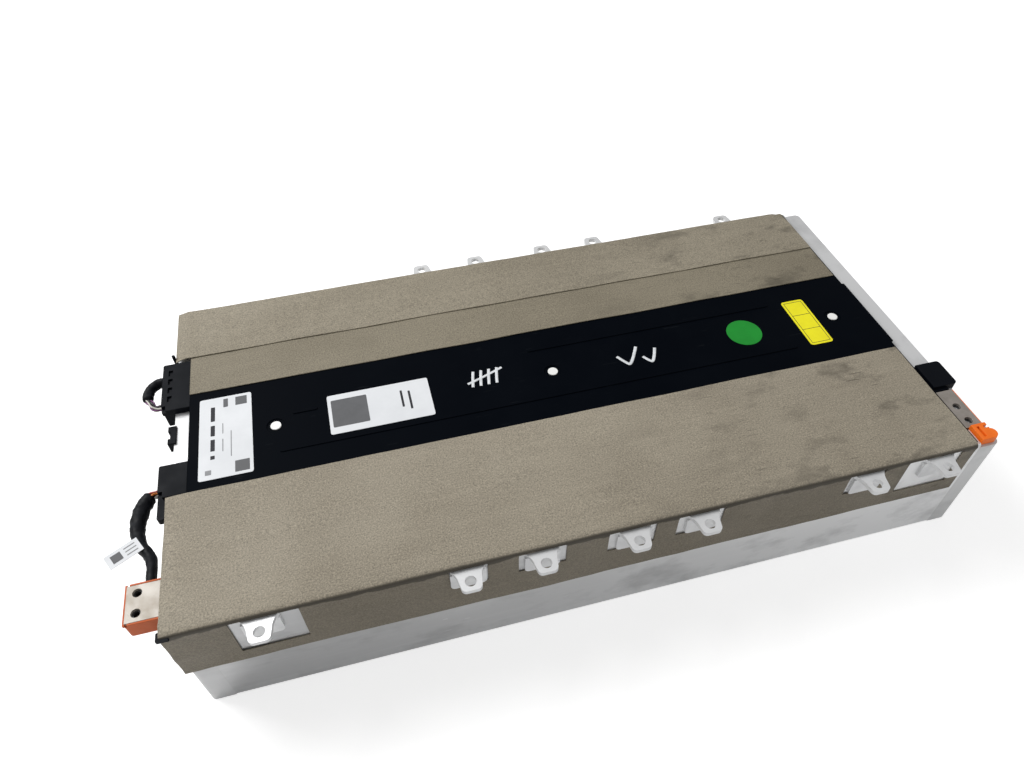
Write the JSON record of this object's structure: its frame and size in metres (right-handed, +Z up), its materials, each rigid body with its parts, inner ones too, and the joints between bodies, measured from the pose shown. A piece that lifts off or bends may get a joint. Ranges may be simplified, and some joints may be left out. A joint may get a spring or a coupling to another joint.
{
  "type": "ev battery module",
  "caption": "Low, wide traction battery module: a row of prismatic cells between metal end and side plates, black centre cover, woven wraps, bolt-down ears and orange-guarded terminals.",
  "frame": {"origin": "centre of the flat underside", "axes": "+X along the row of cells to the right-hand end, +Y to the rear side with five ears, +Z up"},
  "size_m": [0.7655, 0.3874, 0.124],
  "materials": {
    "plate_aluminium": "bare, smudged",
    "ear_aluminium": "bright, blasted",
    "cell_can": "blue insulating film on a drawn can",
    "separator": "soft filler sheet",
    "black_plastic": "moulded, fine grain",
    "cover_plastic": "semi-matt moulded",
    "white_plastic": "matt",
    "woven_cloth": "coated glass cloth, fine weave",
    "bar_metal": "tin-plated",
    "strip_film": "film",
    "orange_plastic": "moulded",
    "nut_steel": "zinc-plated",
    "sleeve": "taped and braided sleeve"
  },
  "bodies": {
    "root": {"bottom_plate": "plate_aluminium", "side_plate_front": "plate_aluminium", "side_plate_rear": "plate_aluminium", "end_plate_left": "plate_aluminium", "end_plate_right": "plate_aluminium", "mount_ear_front_1": "ear_aluminium", "mount_ear_front_2": "ear_aluminium", "mount_ear_front_3": "ear_aluminium", "mount_ear_front_4": "ear_aluminium", "mount_ear_front_5": "ear_aluminium", "mount_ear_front_6": "ear_aluminium", "mount_ear_front_7": "ear_aluminium", "mount_ear_rear_1": "ear_aluminium", "mount_ear_rear_2": "ear_aluminium", "mount_ear_rear_3": "ear_aluminium", "mount_ear_rear_4": "ear_aluminium", "mount_ear_rear_5": "ear_aluminium", "cell_01": "cell_can", "cell_02": "cell_can", "cell_03": "cell_can", "cell_04": "cell_can", "cell_05": "cell_can", "cell_06": "cell_can", "cell_07": "cell_can", "cell_08": "cell_can", "cell_09": "cell_can", "cell_10": "cell_can", "cell_11": "cell_can", "cell_12": "cell_can", "cell_13": "cell_can", "cell_14": "cell_can", "cell_15": "cell_can", "cell_16": "cell_can", "cell_17": "cell_can", "cell_18": "cell_can", "cell_separators": "separator", "thermal_pad": "separator", "busbar_tray": "black_plastic", "busbars_front": "bar_metal", "busbars_rear": "bar_metal", "sensing_strip": "strip_film", "centre_cover": "cover_plastic", "cover_rivets": "white_plastic", "wrap_front": "woven_cloth", "wrap_rear": "woven_cloth", "wrap_rear_overlay": "woven_cloth", "terminal_bar_left": "bar_metal", "terminal_bar_right": "bar_metal", "terminal_housing_left": "orange_plastic", "terminal_housing_right": "orange_plastic", "terminal_nuts": "nut_steel", "connector_box_rear": "black_plastic", "connector_box_front": "black_plastic", "right_end_cap": "black_plastic", "end_clip": "black_plastic", "edge_stud": "black_plastic", "harness_front": "sleeve", "harness_rear": "sleeve", "harness_flag": "white_plastic"}
  },
  "joints": []
}
